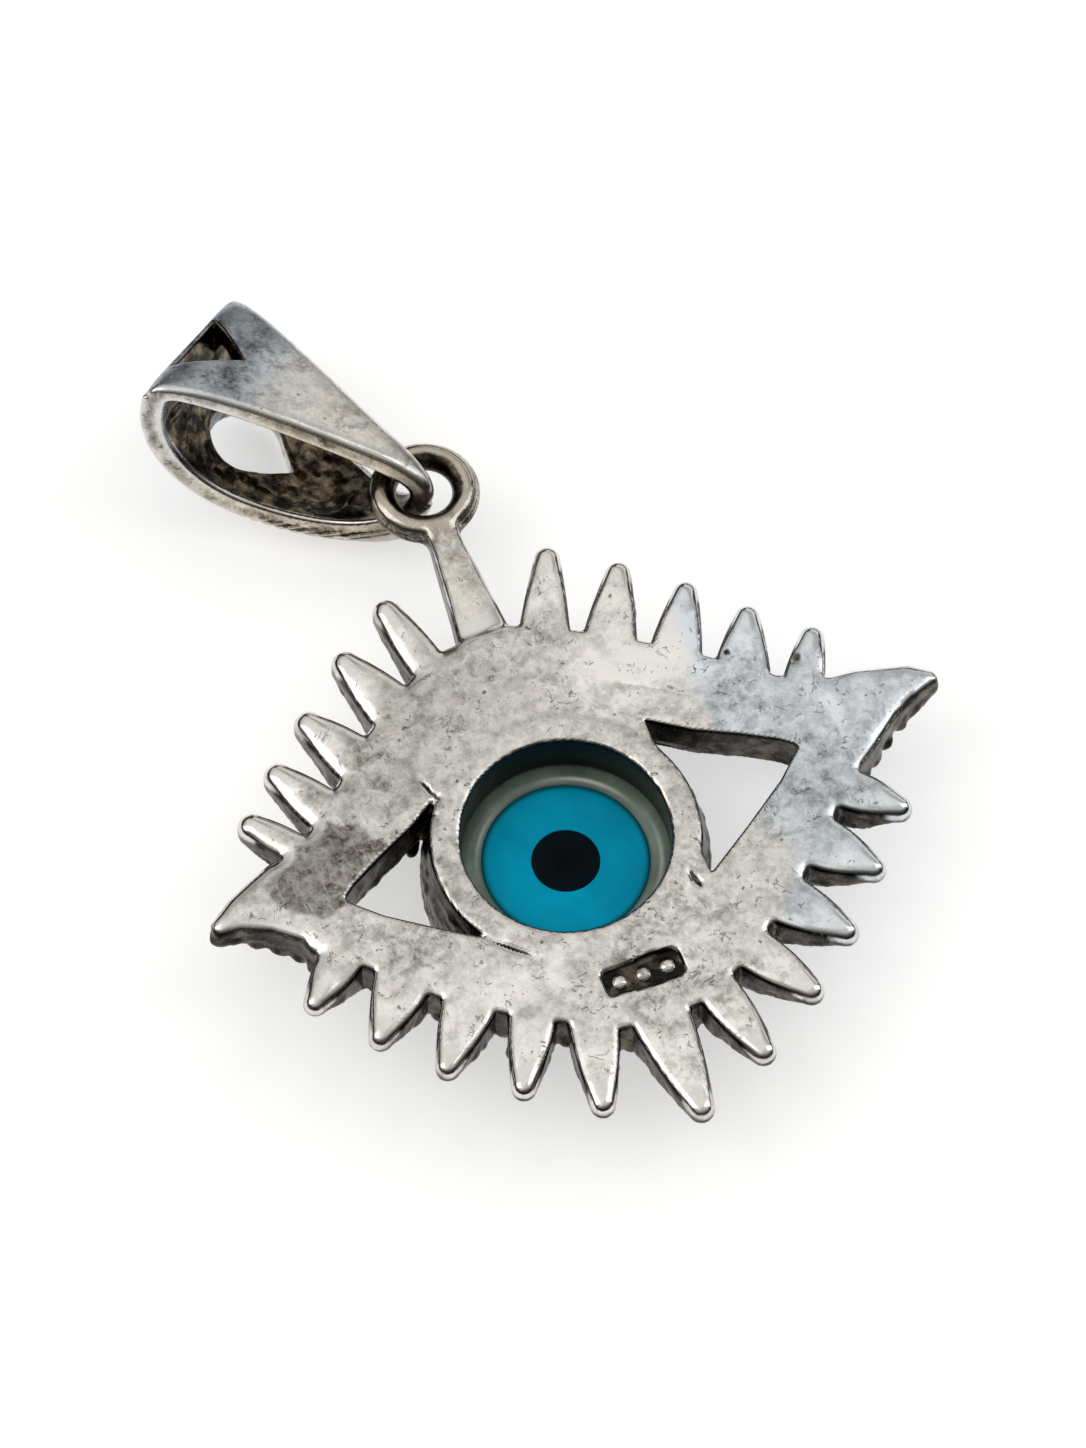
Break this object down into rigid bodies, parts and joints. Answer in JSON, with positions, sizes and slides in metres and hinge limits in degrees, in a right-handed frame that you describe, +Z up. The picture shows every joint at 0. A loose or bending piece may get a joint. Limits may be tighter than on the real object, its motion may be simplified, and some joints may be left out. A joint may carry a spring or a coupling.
{
  "type": "evil eye pendant",
  "caption": "Cast silver eye-shaped pendant with lashes and a round glass eye, hung from a pierced tapered bail on a ring; lies face down.",
  "frame": {"origin": "middle of the whole outline seen from above, on the surface the pendant lies on", "axes": "+Y from the lowest lash towards the ring and bail, +Z up, out of the back of the plate, +X to the right of someone who looks at the back with the ring at the top"},
  "size_m": [0.029, 0.0388, 0.0073],
  "materials": {
    "silver": "cast silver, oxidised dark in the recesses and rubbed bright on the edges",
    "pale_glass": "cloudy grey-green glass, polished",
    "blue_glass": "opaque blue glass, polished",
    "black_glass": "opaque black glass, polished"
  },
  "bodies": {
    "root": {"silver_eye": "silver", "bail": "silver", "glass_base": "pale_glass", "glass_iris": "blue_glass", "glass_pupil": "black_glass"}
  },
  "joints": []
}
